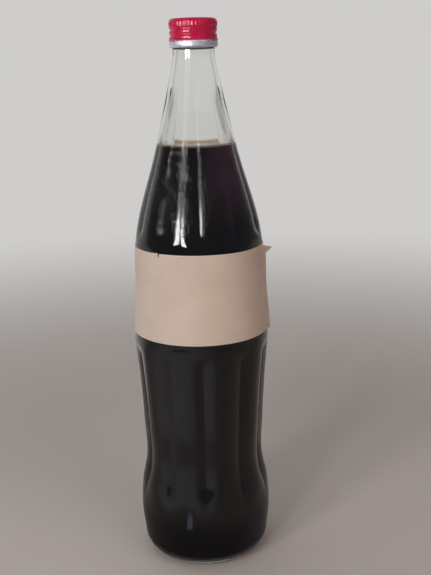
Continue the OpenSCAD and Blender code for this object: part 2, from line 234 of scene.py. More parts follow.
def set_radius(piece, radius_at):
    """Moves each vertex to or from the axis; radius_at(r, angle, z) gives its new distance."""
    co = points_of(piece)
    r = np.hypot(co[:, 0], co[:, 1])
    angle = np.arctan2(co[:, 1], co[:, 0])
    new = radius_at(r, angle, co[:, 2])
    share = np.divide(new, r, out=np.ones_like(r), where=r > 1e-7)
    co[:, :2] *= share[:, None]
    set_points(piece, co)


def apply_modifier(piece, kind, **values):
    modifier = piece.modifiers.new(kind.title(), kind)
    for key, value in values.items():
        setattr(modifier, key, value)
    select_only(piece)
    bpy.ops.object.modifier_apply(modifier=modifier.name)


def smooth(piece, angle=35):
    select_only(piece)
    bpy.ops.object.shade_smooth_by_angle(angle=radians(angle))


def join(pieces, name):
    deselect_all()
    for piece in pieces:
        piece.select_set(True)
    bpy.context.view_layer.objects.active = pieces[0]
    bpy.ops.object.join()
    bpy.context.object.name = name
    return bpy.context.object


def settle(piece):
    """Puts the piece's place, turn and scale into its mesh."""
    select_only(piece)
    bpy.ops.object.transform_apply(location=True, rotation=True, scale=True)


def finish_piece(piece, body, nodes=()):
    settle(piece)
    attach(piece, body)
    if nodes:
        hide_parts(*nodes)


def dress(piece, *materials):
    piece.data.materials.clear()
    for material in materials:
        piece.data.materials.append(material)


def faces_where(piece, test, slot):
    """Gives the faces whose centre passes the test that material slot."""
    for face in piece.data.polygons:
        if test(face.center):
            face.material_index = slot


def unit_cube():
    deselect_all()
    bpy.ops.mesh.primitive_cube_add(size=1.0)
    return bpy.context.object


def copied(first, scale, place, turn=0.0):
    """Copy of a piece with its own mesh."""
    copy = first.copy()
    copy.data = first.data.copy()
    bpy.context.collection.objects.link(copy)
    copy.scale, copy.location = scale, place
    copy.rotation_euler.z = turn
    return copy


def copied_around(first, count, scale, radius, z):
    """Copies evenly around the axis, after which the first goes."""
    turns = [TURN * i / count for i in range(count)]
    copies = [copied(first, scale, (radius * cos(a), radius * sin(a), z), a) for a in turns]
    bpy.data.objects.remove(first)
    return copies


# Shape of the bottle


def ease(a, b, v):
    """Smooth step of v from 0 at a to 1 at b."""
    t = np.clip((v - a) / (b - a), 0, 1)
    return t * t * (3 - 2 * t)


def ramp(a, b, n):
    """Even steps from a to b, without a itself."""
    return [a + (b - a) * i / n for i in range(1, n + 1)]


def rows(start, *stretches):
    """Even steps through stretches of (end, steps), without the start itself."""
    heights = []
    for end, count in stretches:
        heights += ramp(start, end, count)
        start = end
    return heights


def angles(*degrees):
    return [radians(d) for d in degrees]


# Heights over which the lower lobes rise and the grooves of the neck come and go
FOOT = (34 * MM, 58 * MM)
HEAD_Z, LOBE_HEAD, GROOVE_FADE = 147.5 * MM, 2.4 * MM, 10 * MM
HEAD_ROWS = (HEAD_Z - 16 * MM, HEAD_Z + 1 * MM)
# How much lower the grooves end than the lobes
ARCH = 4 * MM
SHOULDER = (206.5 * MM, 214.5 * MM)
NECK = (284 * MM, 306 * MM)
BORE_EASE = 0.4 * MM


def outline(z):
    """Radius over the lobes: a smooth curve through the stations above a quarter circle."""
    glass = bpy.context.scene.bottle_glass
    h, r = np.array(glass.heights), np.array(glass.radii)
    span, rise = np.diff(h), np.diff(r)
    chord = rise / span
    slope = np.zeros_like(h)
    slope[0] = chord[0]
    slope[1:-1] = (chord[:-1] * span[1:] + chord[1:] * span[:-1]) / (span[:-1] + span[1:])
    z = np.asarray(z, float)
    i = np.clip(np.searchsorted(h, z, side="right") - 1, 0, len(h) - 2)
    t = np.clip((z - h[i]) / span[i], 0, 1)
    curve = (
        (2 * t**3 - 3 * t**2 + 1) * r[i]
        + (t**3 - 2 * t**2 + t) * span[i] * slope[i]
        + (3 * t**2 - 2 * t**3) * r[i + 1]
        + (t**3 - t**2) * span[i] * slope[i + 1]
    )
    heel = r[0] - h[0] + np.sqrt(np.maximum(0, h[0] ** 2 - np.maximum(0, h[0] - z) ** 2))
    return np.where(z < h[0], heel, curve)


def body_share(z, side, fade):
    """Share of the body's full relief, which fades out over fade below the panel."""
    return ease(*FOOT, z) * (1 - ease(HEAD_Z - fade, HEAD_Z, z + ARCH * side))


def skin_radius(z, side):
    """Outer radius of the glass; side is 0 in the middle of a lobe and 1 in a groove."""
    glass = bpy.context.scene.bottle_glass
    neck = ease(*SHOULDER, z) * (1 - ease(*NECK, z))
    groove = side * np.maximum(body_share(z, side, GROOVE_FADE), neck)
    proud = glass.lobe_proud * (1 - side) * body_share(z, side, LOBE_HEAD)
    return outline(z) * (1 - glass.lobe_share * groove) + proud


def inner_wall(z):
    """Radius of the hollow, eased into the bore."""
    glass = bpy.context.scene.bottle_glass
    over = skin_radius(z, 1.0) - glass.wall - glass.bore
    return glass.bore + (over + np.sqrt(over**2 + BORE_EASE**2)) / 2


COLUMNS = 240
GROOVE_ROUND = 0.035
CROWDING = 0.45
HEEL_INNER, HEEL_STEPS = 9 * MM, range(0, 90, 9)
# How far the flat surface of the drink lies below its edge at the glass
SINK = 0.9 * MM
LIP = 0.9 * MM
PUNT_RISE, PUNT_R = 3.4 * MM, 24.2 * MM
COLLAR_Z = 312 * MM
BEAD_Z, ROOT_Z = 316.4 * MM, 319.9 * MM
NECK_R, BEAD_R, ROOT_R, CREST_R = 12.15 * MM, 13.75 * MM, 12.45 * MM, 13.45 * MM
THREAD_TOP, THREAD_END, THREAD_TURNS = RIM_Z - 3.6 * MM, radians(160), 1.7
RUN_OUT = radians(25)
CREST_HALF, CREST_SLOPE = 0.95 * MM, 0.55 * MM


def helix(angle, z, top, end, turns, pitch):
    """Height off the nearest turn of a helix that ends at an angle and top, and its depth's share."""
    best = np.full_like(z, 1.0)
    share = np.zeros_like(z)
    for k in range(int(turns) + 3):
        back = (end - angle) % TURN + TURN * (k - 1)
        off = z - (top - pitch * back / TURN)
        fade = ease(0, RUN_OUT, np.minimum(back, turns * TURN - back))
        closer = (np.abs(off) < np.abs(best)) & (back >= 0) & (back <= turns * TURN)
        best = np.where(closer, off, best)
        share = np.where(closer, fade, share)
    return best, share


def inner_rows():
    """Heights of the hollow's rows above its heel, which the drink shares up to its surface."""
    heel_z = bpy.context.scene.bottle_glass.floor + HEEL_INNER
    flat_z = LEVEL_Z - SINK
    body = ((HEAD_ROWS[0], 36), (HEAD_ROWS[1], 10), (SHOULDER[0], 14), (SHOULDER[1], 8))
    return rows(heel_z, *body, (flat_z, 14), (LEVEL_Z, 2), (COLLAR_Z, 16))


def inner_profile(top, grow=0.0):
    """Outline of the hollow from the axis at the floor up to a height, moved outwards by grow."""
    glass = bpy.context.scene.bottle_glass
    heel_z = glass.floor + HEEL_INNER
    heel_x = float(inner_wall(heel_z)) - HEEL_INNER
    flat = [(0.0, glass.floor - grow)] + [(heel_x * s, glass.floor - grow) for s in (0.35, 0.7)]
    bend = HEEL_INNER + grow
    arc = [
        (heel_x + bend * sin(a), heel_z - bend * cos(a))
        for a in angles(*HEEL_STEPS)
    ]
    heights = [z for z in [heel_z] + inner_rows() if z < top + 0.01 * MM]
    walls = [(float(inner_wall(z)) + grow, z) for z in heights]
    return flat + arc + walls


def outer_profile():
    """Outline of the outside from the axis under the base to the top of the rim."""
    glass = bpy.context.scene.bottle_glass
    ball = (PUNT_R**2 + PUNT_RISE**2) / (2 * PUNT_RISE)
    punt = [
        (r, PUNT_RISE - ball + sqrt(ball**2 - r**2))
        for r in (PUNT_R * s for s in (0, 0.12, 0.25, 0.4, 0.55, 0.7, 0.82, 0.92, 0.98))
    ]
    ring = [(PUNT_R + 0.4 * MM, 0.05 * MM), (PUNT_R + 1.0 * MM, 0.0)]
    heel_h = glass.heights[0]
    heights = [heel_h * (1 - cos(a)) for a in angles(*HEEL_STEPS)] + [heel_h]
    stretches = ((HEAD_ROWS[0], 56), (HEAD_ROWS[1], 26), (SHOULDER[0], 20), (SHOULDER[1], 10))
    heights += rows(heel_h, *stretches, (COLLAR_Z - 0.6 * MM, 54))
    body = [(float(outline(z)), z) for z in heights]
    collar = [(NECK_R + 0.02 * MM, COLLAR_Z), (NECK_R, COLLAR_Z + 0.6 * MM)]
    neck = [(NECK_R, z) for z in ramp(COLLAR_Z + 0.6 * MM, BEAD_Z - 0.3 * MM, 5)]
    bead = [
        (r + out * MM, z + up * MM)
        for r, out, z, up in (
            (NECK_R, 0.12, BEAD_Z, 0),
            (NECK_R, 0.45, BEAD_Z, 0.38),
            (BEAD_R, -0.35, BEAD_Z, 1.0),
            (BEAD_R, -0.08, BEAD_Z, 1.3),
            (BEAD_R, 0, BEAD_Z, 1.6),
            (BEAD_R, 0, ROOT_Z, -1.4),
            (BEAD_R, -0.1, ROOT_Z, -1.05),
            (BEAD_R, -0.5, ROOT_Z, -0.6),
            (ROOT_R, 0.25, ROOT_Z, -0.1),
            (ROOT_R, 0, ROOT_Z, 0.15),
        )
    ]
    finish = [(ROOT_R, z) for z in ramp(ROOT_Z + 0.15 * MM, RIM_Z - LIP, 46)]
    return punt + ring + body + collar + neck + bead + finish


def crowd_columns(piece, glass):
    """Turns the columns of vertices towards the grooves, where the skin bends most."""
    co = points_of(piece)
    r = np.hypot(co[:, 0], co[:, 1])
    angle = np.arctan2(co[:, 1], co[:, 0])
    angle -= CROWDING * np.sin((angle - glass.lobe_angle) * glass.lobe_count) / glass.lobe_count
    co[:, 0], co[:, 1] = r * np.cos(angle), r * np.sin(angle)
    set_points(piece, co)


class BOTTLE_OT_glass(Operator):
    """Model the lobed glass with its screw finish"""

    bl_idname = "bottle.glass"
    bl_label = "Glass"

    def execute(self, context):
        glass = context.scene.bottle_glass
        outer_lip = [
            (ROOT_R - LIP + LIP * cos(a), RIM_Z - LIP + LIP * sin(a))
            for a in angles(18, 36, 54, 72, 90)
        ]
        inner_lip = [
            (glass.bore + LIP - LIP * cos(a), RIM_Z - LIP + LIP * sin(a))
            for a in angles(90, 72, 54, 36, 18, 0)
        ]
        bore = [(glass.bore, z) for z in ramp(COLLAR_Z, RIM_Z - 2 * LIP, 5)]
        hollow = (inner_profile(COLLAR_Z) + bore)[::-1]
        piece = lathe("glass_body", outer_profile() + outer_lip + inner_lip + hollow, COLUMNS)
        inside = inner_wall(points_of(piece)[:, 2]) + glass.wall * 0.4

        crowd_columns(piece, glass)

        def shaped(r, angle, z):
            across = (angle - glass.lobe_angle) * glass.lobe_count / TURN
            middle = 1 - np.abs(2 * (across - np.floor(across)) - 1)
            side = (1 - np.sqrt(middle**2 + GROOVE_ROUND**2)).clip(0, 1) ** 2
            skin = (r > inside) & (z > glass.heights[0]) & (z < COLLAR_Z)
            lobed = np.where(skin, skin_radius(z, side), r)
            pitch = context.scene.bottle_cap.pitch
            off, share = helix(angle, z, THREAD_TOP, THREAD_END, THREAD_TURNS, pitch)
            crest = np.clip((CREST_HALF - np.abs(off)) / CREST_SLOPE, 0, 1)
            crest = crest * crest * (3 - 2 * crest)
            threaded = (z > ROOT_Z + 0.1 * MM) & (np.abs(r - ROOT_R) < 0.02 * MM)
            return lobed + np.where(threaded, (CREST_R - ROOT_R) * share * crest, 0)

        set_radius(piece, shaped)
        smooth(piece, 50)
        dress(piece, glass_material())
        finish_piece(piece, "bottle", ["glass_bottle"])
        return {"FINISHED"}


DRINK_GROW = 0.05 * MM
# Curve of the drink's edge: depths in from the glass and heights, in millimetres
CREEP = ((0.35, 0.72), (0.6, 0.46), (1.0, 0.26), (1.6, 0.12), (2.5, 0.05), (3.6, 0.03))
BUBBLE_SIZES = (0.18, 0.5)


def drink_body(context, profile, edge, flat_z):
    """The drink under its flat surface, pressed a hair into the glass so that no gap shows."""
    top = flat_z + 0.02 * MM
    profile = profile + [(edge - 0.06 * MM, top), (edge * 0.5, top), (0.0, top)]
    piece = lathe("drink", profile, COLUMNS)
    crowd_columns(piece, context.scene.bottle_glass)
    smooth(piece, 60)
    dress(piece, drink_material(), drink_surface_material())
    flat_r = edge - 0.04 * MM
    faces_where(piece, lambda c: c.z > flat_z - 0.01 * MM and hypot(c.x, c.y) < flat_r, 1)
    finish_piece(piece, "bottle", ["soda"])


def drink_bubbles(drink, edge, flat_z):
    """Small bubbles along the edge of the surface."""
    rng = random.Random(7)
    deselect_all()
    bpy.ops.mesh.primitive_ico_sphere_add(subdivisions=2, radius=1.0)
    first = bpy.context.object
    bubbles = []
    for _ in range(drink.bubbles):
        size = rng.uniform(*BUBBLE_SIZES) * MM
        angle = rng.uniform(0, TURN)
        r = edge - 0.45 * MM - size * rng.uniform(0.9, 2.2)
        place = (r * cos(angle), r * sin(angle), flat_z + 0.25 * MM)
        bubbles.append(copied(first, (size, size, size * 0.7), place))
    bpy.data.objects.remove(first)
    piece = join(bubbles, "bubbles")
    settle(piece)
    smooth(piece, 60)
    dress(piece, bubble_material())
    finish_piece(piece, "bottle")


class BOTTLE_OT_drink(Operator):
    """Model the drink up to its level, with its curved edge and bubbles"""

    bl_idname = "bottle.drink"
    bl_label = "Drink"

    def execute(self, context):
        drink = context.scene.bottle_drink
        level = drink.level
        flat_z = level - SINK
        profile = inner_profile(flat_z, DRINK_GROW)
        edge = profile[-1][0]
        drink_body(context, profile, edge, flat_z)
        top_r = float(inner_wall(level)) + DRINK_GROW
        wedge = [(edge - 3.6 * MM, flat_z), (edge, flat_z), (top_r, level)]
        wedge += [(top_r - 0.08 * MM, level + 0.1 * MM)]
        wedge += [(edge - d * MM, flat_z + h * MM) for d, h in CREEP]
        ring = lathe("drink_edge", wedge, COLUMNS)
        crowd_columns(ring, context.scene.bottle_glass)
        smooth(ring, 60)
        dress(ring, drink_edge_material())
        finish_piece(ring, "bottle")
        drink_bubbles(drink, edge, flat_z)
        return {"FINISHED"}


RIB_Z = (CAP_HIGH - 4.3 * MM, CAP_HIGH - 1.9 * MM)
SLIT_Z = CAP_LOW + 1.2 * MM
GROOVE_END, GROOVE_TURNS = radians(350), 1.6
CAP_COLUMNS = 352
FLARE, FLARE_H = 0.5 * MM, 1.6 * MM
RIB_DEPTH, RIB_BASE = 0.26 * MM, 0.25
GROOVE_HALF = (0.2 * MM, 1.15 * MM)
SLIT_SIZE = (1.6 * MM, 1.0 * MM, 0.42 * MM)


class BOTTLE_OT_cap(Operator):
    """Model the rolled screw cap of sheet metal"""

    bl_idname = "bottle.cap"
    bl_label = "Screw cap"

    def execute(self, context):
        cap = context.scene.bottle_cap

        def side(inset):
            """Half outline of one face of the sheet, from the axis at the top to the lower edge."""
            r, top, bend = cap.wall_r - inset, CAP_HIGH - inset, cap.round - inset
            crown = [(0.0, top)] + [((r - bend) * s, top) for s in (0.3, 0.6, 0.85, 1.0)]
            arc = [
                (r - bend + bend * sin(a), top - bend + bend * cos(a))
                for a in angles(*range(10, 91, 10))
            ]
            wall = [(r, z) for z in ramp(top - bend, CAP_LOW + FLARE_H, 46)]
            skirt = [
                (r + FLARE * float(ease(0, 1, s)), CAP_LOW + FLARE_H - (FLARE_H - 0.12 * MM) * s)
                for s in ramp(0, 1, 7)
            ]
            return crown + arc + wall + skirt

        outer, inner = side(0.0), side(cap.sheet)
        edge_r = (outer[-1][0] + inner[-1][0]) / 2
        edge = [(edge_r + 0.05 * MM, CAP_LOW), (edge_r - 0.05 * MM, CAP_LOW)]
        profile = outer + edge + inner[::-1]
        piece = lathe("cap_metal", profile, CAP_COLUMNS)
        groove_top = THREAD_TOP + cap.pitch * ((GROOVE_END - THREAD_END) / TURN - 0.5)

        def rolled(r, angle, z):
            wall = ease(cap.wall_r - 1.2 * MM, cap.wall_r - 0.4 * MM, r)
            low = ease(RIB_Z[0] - 0.25 * MM, RIB_Z[0] + 0.25 * MM, z)
            high = 1 - ease(RIB_Z[1] - 0.25 * MM, RIB_Z[1] + 0.15 * MM, z)
            rib = 0.5 + 0.5 * np.cos(angle * cap.ribs)
            off, share = helix(angle, z, groove_top, GROOVE_END, GROOVE_TURNS, cap.pitch)
            dip = 1 - ease(*GROOVE_HALF, np.abs(off))
            ribbed = RIB_DEPTH * (low * high) * (rib - RIB_BASE)
            return r + wall * (ribbed - cap.groove * share * dip)

        set_radius(piece, rolled)
        cutters = copied_around(unit_cube(), cap.slits, SLIT_SIZE, cap.wall_r, SLIT_Z)
        cutter = join(cutters, "slit_cutter")
        settle(cutter)
        apply_modifier(piece, "BOOLEAN", object=cutter, operation="DIFFERENCE", solver="EXACT")
        bpy.data.objects.remove(cutter)
        smooth(piece, 42)
        dress(piece, lacquer_material(), bare_metal_material("cap_inside", 0.35))
        for face in piece.data.polygons:
            outward = face.normal.x * face.center.x + face.normal.y * face.center.y
            near_top = face.center.z > CAP_HIGH - cap.sheet * 1.5
            inward = outward < -0.3 * hypot(*face.center.xy)
            hidden = face.normal.z < -0.7 if near_top else inward
            face.material_index = 1 if hidden and face.center.z < CAP_HIGH - cap.sheet / 2 else 0
        finish_piece(piece, "cap", ["cap_shell"])
        return {"FINISHED"}


BAND_GAP = 0.12 * MM
# Rolled line of the band: its distance below the top edge, its depth and half its width
LINE_DROP, LINE_DEPTH, LINE_HALF = 0.72 * MM, 0.34 * MM, 0.18 * MM
# Lower edge, tucked under the bead: depths in from the outside and heights, in millimetres
TUCK = ((0.08, 0.98), (0.28, 0.66), (0.62, 0.32), (0.98, 0.06), (1.08, 0.0), (1.22, 0.14), (0.8, 0.48))


class BOTTLE_OT_band(Operator):
    """Model the tamper band with its rolled line, tucked edge and torn bridges"""

    bl_idname = "bottle.band"
    bl_label = "Tamper band"

    def execute(self, context):
        cap = context.scene.bottle_cap
        inner = BEAD_R + BAND_GAP
        out = inner + cap.sheet
        ring_top = ROOT_Z - 0.1 * MM
        line = ring_top - LINE_DROP
        outside = [(out - 0.05 * MM, ring_top), (out, ring_top - 0.06 * MM)]
        outside += [
            (out - LINE_DEPTH * exp(-(((z - line) / LINE_HALF) ** 2)), z)
            for z in ramp(ring_top - 0.06 * MM, line - 0.5 * MM, 12)
        ]
        outside += [(out, z) for z in ramp(line - 0.5 * MM, BAND_LOW + 1.25 * MM, 3)]
        tuck = [(out - d * MM, BAND_LOW + h * MM) for d, h in TUCK]
        back = [
            (inner - 0.24 * MM, BAND_LOW + 0.84 * MM),
            (inner, BAND_LOW + 1.2 * MM),
            (inner, ring_top - 1.2 * MM),
            (inner, ring_top - 0.05 * MM),
            (inner + 0.05 * MM, ring_top),
        ]
        loop = outside + tuck + back
        ring = lathe("band_metal", loop + loop[:1], 256)
        height = BAND_HIGH - ring_top + 0.1 * MM
        size = (cap.sheet * 0.8, 0.8 * MM, height)
        middle = (inner + out) / 2
        stubs = copied_around(unit_cube(), cap.bridges, size, middle, BAND_HIGH - height / 2)
        piece = join([ring] + stubs, "band_metal")
        smooth(piece, 40)
        dress(piece, bare_metal_material("band_aluminium", 0.5))
        finish_piece(piece, "band", ["tamper_band"])
        return {"FINISHED"}


PAPER_COLUMNS, PAPER_ROWS = 388, 53
NICK_ANGLE, NICK_DEPTH, NICK_REACH = radians(-127.5), 2.1 * MM, 0.035
NICK_SPAN, NICK_UP, NICK_DOWN = 0.16, 0.55 * MM, 0.15 * MM
NICK_OUT, NICK_OUT_RIGHT = 0.7 * MM, 0.1 * MM
# Height of the slow wave in the upper edge, and how far from the free end it stops
WAVE, WAVE_END = 0.1 * MM, 8 * MM
# Turns from the paper's start over which its second layer climbs onto the first
CLIMB = (radians(320), TURN - radians(10))
LIFTED = radians(9)
# Folded corners of the free end: how far the fold reaches along the edges, and its bend
TOP_FOLD, LOW_FOLD = (6.6 * MM, radians(70)), (2.1 * MM, radians(60))
# Angles before and after the free end that show its cut edge, painted lighter for its pale core and a
# painted highlight, or lie in its shade, which is a painted shade
CUT_SPAN, SHADE_SPAN = (0.02, 0.005), (0.05, radians(10))
# Paper tints: plain; lighter at the cut edge for its pale core and a painted highlight; darker where
# it lies in the free end's shade, a painted shade
PAPER_TINTS_AND_PAINTED_LIGHT = (("cream_paper", 1.0), ("paper_cut_edge_and_highlight", 1.6), ("paper_lap_painted_shade", 0.62))


def paper_stand_off(turn, paper):
    """How far the inner face stands from the panel at a turn from the paper's start."""
    whole = TURN + paper.lap
    over = ease(*CLIMB, turn)
    lift = ease(whole - LIFTED, whole, turn)
    return paper.gap + (paper.thickness + paper.lap_gap) * over + paper.lift * lift


def dog_ear(end, drop, leg, bend):
    """Corner folded outwards about its diagonal: shifts off the bottle and back along its edges."""
    past = np.clip((leg - end - drop) / sqrt(2), 0, None)
    share = ease(0, 1.2 * MM, past)
    return past * sin(bend) * share, past * (1 - cos(bend)) * share / sqrt(2)


def cut_nick(piece, u, high, paper):
    """Cuts the one column of faces near the upper edge that the nick opens."""
    whole = TURN + paper.lap
    split = (u * PAPER_COLUMNS).round().astype(int)
    column = int(round((NICK_ANGLE + TURN - paper.start) / whole * PAPER_COLUMNS))
    select_only(piece)
    set_mode("EDIT")
    bpy.ops.mesh.select_all(action="DESELECT")
    set_mode("OBJECT")
    for face in piece.data.polygons:
        face.select = all(split[i] in (column, column + 1) and bool(high[i]) for i in face.vertices)
    set_mode("EDIT")
    bpy.ops.mesh.select_mode(type="FACE")
    bpy.ops.mesh.delete(type="FACE")
    bpy.ops.mesh.select_all(action="SELECT")
    bpy.ops.mesh.normals_make_consistent(inside=False)
    set_mode("OBJECT")


def mark_lap(piece, paper):
    """Gives the cut edge of the free end a lighter tint, for its pale core and a painted highlight,
    and the paper in its shade a darker tint, a painted shade.
    """
    last = paper.start + paper.lap
    for face in piece.data.polygons:
        past = atan2(face.center.y, face.center.x) - last
        off = hypot(face.center.x, face.center.y) - float(outline(face.center.z))
        outer_layer = off > paper.gap + paper.thickness + paper.lap_gap / 2
        if outer_layer and -CUT_SPAN[0] < past < CUT_SPAN[1]:
            face.material_index = 1
        elif not outer_layer and -SHADE_SPAN[0] < past < SHADE_SPAN[1]:
            face.material_index = 2


class BOTTLE_OT_paper(Operator):
    """Model the paper band, with its nick and its free end"""

    bl_idname = "bottle.paper"
    bl_label = "Paper band"

    def execute(self, context):
        paper = context.scene.bottle_paper
        whole = TURN + paper.lap
        deselect_all()
        bpy.ops.mesh.primitive_grid_add(
            x_subdivisions=PAPER_COLUMNS,
            y_subdivisions=PAPER_ROWS,
            size=1.0,
            location=(0.5, 0.5, 0),
        )
        piece = bpy.context.object
        piece.name = "paper_band"
        settle(piece)
        flat = points_of(piece)
        u, v = flat[:, 0].copy(), flat[:, 1].copy()
        turn = u * whole
        z = PAPER_LOW + (PAPER_HIGH - PAPER_LOW) * v
        angle = paper.start + turn
        radius = outline(z) + paper_stand_off(turn, paper) + paper.thickness / 2
        end = (1 - u) * whole * radius
        out_top, in_top = dog_ear(end, PAPER_HIGH - z, *TOP_FOLD)
        out_low, in_low = dog_ear(end, z - PAPER_LOW, *LOW_FOLD)
        radius += out_top + out_low
        angle = angle - (in_top + in_low) / radius
        z = z - in_top + in_low
        wave = WAVE * np.sin(angle * 3 + 1.0) * ease(0.7, 1.0, v)
        z = z + wave * (end > WAVE_END)
        nick = PAPER_HIGH - NICK_DEPTH
        near = angle - (NICK_ANGLE + TURN)
        depth = ease(nick, PAPER_HIGH, z)
        left = (near < 0) & (near > -NICK_SPAN)
        curl = depth * np.exp(-np.abs(near) / NICK_REACH)
        z = z + np.where(left, NICK_UP * curl, -NICK_DOWN * curl)
        radius += np.where(left, NICK_OUT * curl, NICK_OUT_RIGHT * curl)
        co = np.stack([radius * np.cos(angle), radius * np.sin(angle), z], 1)
        set_points(piece, co)
        cut_nick(piece, u, v > (nick - PAPER_LOW) / (PAPER_HIGH - PAPER_LOW), paper)
        apply_modifier(piece, "SOLIDIFY", thickness=paper.thickness, offset=0.0)
        smooth(piece, 50)
        dress(piece, *(paper_material(name, tint) for name, tint in PAPER_TINTS_AND_PAINTED_LIGHT))
        mark_lap(piece, paper)
        middle = float(outline((PAPER_LOW + PAPER_HIGH) / 2)) + paper.gap + paper.thickness
        finish_piece(piece, "bottle", ["paper_wrap"])
        return {"FINISHED"}


class BOTTLE_OT_plain_parts(Operator):
    """Give the sealing disc and the glue strip their finishes"""

    bl_idname = "bottle.plain_parts"
    bl_label = "Disc and glue"

    def execute(self, context):
        for node, material in (("cap_liner", liner_material()), ("wrap_glue", glue_material())):
            dress(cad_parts[node], material)
        return {"FINISHED"}


# Materials


def put(node, inputs):
    """Links each input of the node to another's output, or sets it to a value."""
    for key, value in inputs.items():
        socket = node.inputs[key]
        if isinstance(value, bpy.types.NodeSocket):
            node.id_data.links.new(value, socket)
        elif socket.type == "RGBA":
            socket.default_value = (*value, 1.0)
        else:
            socket.default_value = value


def add_node(tree, kind, inputs, **settings):
    """New shader node of a kind, with its settings and its inputs."""
    node = tree.nodes.new("ShaderNode" + kind)
    for key, value in settings.items():
        setattr(node, key, value)
    put(node, inputs)
    return node


def new_material(name):
    """New material with its node tree, its Principled shader and its Object coordinates."""
    material = bpy.data.materials.new(name)
    material.use_nodes = True
    tree = material.node_tree
    place = add_node(tree, "TexCoord", {}).outputs["Object"]
    return material, tree, tree.nodes["Principled BSDF"], place


def noise(tree, place, scale, detail=2.0, rough=0.5, stretch=None):
    if stretch:
        place = add_node(tree, "Mapping", {"Vector": place, "Scale": stretch}).outputs["Vector"]
    inputs = {"Vector": place, "Scale": scale, "Detail": detail, "Roughness": rough}
    return add_node(tree, "TexNoise", inputs).outputs["Fac"]


def mapped(tree, value, low, high, to_low=0.0, to_high=1.0):
    """Smooth step of a value from one range to another; low may lie above high."""
    inputs = {"Value": value, "From Min": low, "From Max": high}
    inputs |= {"To Min": to_low, "To Max": to_high}
    return add_node(tree, "MapRange", inputs, interpolation_type="SMOOTHSTEP").outputs["Result"]


def maths(tree, kind, a, b):
    return add_node(tree, "Math", {0: a, 1: b}, operation=kind).outputs["Value"]


def product(tree, a, b):
    return maths(tree, "MULTIPLY", a, b)


def mixed(tree, factor, a, b):
    """Colour a where the factor is 0, and colour b where it is 1."""
    return add_node(tree, "Mix", {0: factor, 6: a, 7: b}, data_type="RGBA").outputs[2]


def split_place(tree, place):
    parts = add_node(tree, "SeparateXYZ", {0: place}).outputs
    return parts["X"], parts["Y"], parts["Z"]


def bump(tree, height, distance, strength=1.0, under=None):
    inputs = {"Height": height, "Distance": distance, "Strength": strength}
    if under:
        inputs["Normal"] = under
    return add_node(tree, "Bump", inputs).outputs["Normal"]


def scaled(colour, share):
    return tuple(c * share for c in colour)


# Heights over which the fine specks of the glass come in, and over which they go
SPECKS_LOW = (206 * MM, 226 * MM)
SPECKS_HIGH = (LEVEL_Z + 6 * MM, LEVEL_Z - 6 * MM)
GLASS_IOR, DRINK_IOR = 1.52, 1.33


def glass_material():
    """Clear glass, with slow waves all over and fine specks below the level."""
    material, tree, shader, place = new_material("clear_glass")
    z = split_place(tree, place)[2]
    band = product(tree, mapped(tree, z, *SPECKS_LOW), mapped(tree, z, *SPECKS_HIGH))
    speck = product(tree, mapped(tree, noise(tree, place, 1300), 0.5, 0.7), band)
    waves = bump(tree, noise(tree, place, 40, 1.0, 0.4, (1.0, 1.0, 0.3)), 0.22 * MM)
    inputs = {"Base Color": bpy.context.scene.bottle_glass.colour, "Roughness": 0.0}
    inputs |= {"Transmission Weight": 1.0, "IOR": GLASS_IOR}
    put(shader, inputs | {"Normal": bump(tree, speck, 0.06 * MM, 1.0, waves)})
    return material


# Slant, as one minus its cosine, past which the glass wall keeps light from the drink
TRAPPING = (0.49, 0.56)
TRAPPED_TONE = (0.93, 0.93, 0.93)
# Depths below the level, heights and distances to the right between which the maroon glow rises
GLOW_HIGH, GLOW_HIGH_X = (52 * MM, 14 * MM), (0.0, 12 * MM)
GLOW_LOW, GLOW_LOW_X, GLOW_LOW_SHARE = (44 * MM, 20 * MM), (12 * MM, 36 * MM), 0.3


def drink_material():
    """Dark drink behind the glass, maroon where light gets through near its level and its foot."""
    drink = bpy.context.scene.bottle_drink
    material, tree, shader, place = new_material("drink_side")
    x, _, z = split_place(tree, place)
    high = product(
        tree,
        mapped(tree, z, drink.level - GLOW_HIGH[0], drink.level - GLOW_HIGH[1]),
        mapped(tree, x, *GLOW_HIGH_X),
    )
    foot = mapped(tree, z, *GLOW_LOW, 0.0, GLOW_LOW_SHARE)
    low = product(tree, foot, mapped(tree, x, *GLOW_LOW_X))
    cloud = mapped(tree, noise(tree, place, 30, 3.0, 0.6, (1.0, 1.0, 0.25)), 0.3, 0.7, 0.35, 1.0)
    glow = product(tree, maths(tree, "MAXIMUM", high, low), cloud)
    tint = mixed(tree, glow, drink.deep, drink.maroon)
    trapped = mapped(tree, add_node(tree, "LayerWeight", {}).outputs["Facing"], *TRAPPING)
    inputs = {"Base Color": mixed(tree, trapped, tint, TRAPPED_TONE), "Metallic": trapped}
    put(shader, inputs | {"IOR": DRINK_IOR, "Specular IOR Level": 0.0, "Roughness": 0.04})
    return material


def drink_surface_material():
    """Flat surface of the drink, which mirrors the far wall of the glass."""
    material, tree, shader, place = new_material("drink_surface")
    patch = mapped(tree, noise(tree, place, 110), 0.3, 0.7)
    dull = mapped(tree, noise(tree, place, 160), 0.3, 0.7, 0.02, 0.06)
    tone = mixed(tree, patch, (0.03, 0.02, 0.014), (0.06, 0.04, 0.025))
    put(shader, {"Base Color": tone, "IOR": DRINK_IOR, "Roughness": dull})
    return material


def film_material(name, tone, dull, ior):
    """Thin film of drink that light comes through, in two tones that drift into each other."""
    material, tree, shader, place = new_material(name)
    scale, low, high = tone[:3]
    patch = mapped(tree, noise(tree, place, scale), low, high)
    inputs = {"Base Color": mixed(tree, patch, *tone[3:]), "Transmission Weight": 1.0}
    put(shader, inputs | {"Roughness": dull, "IOR": ior})
    return material


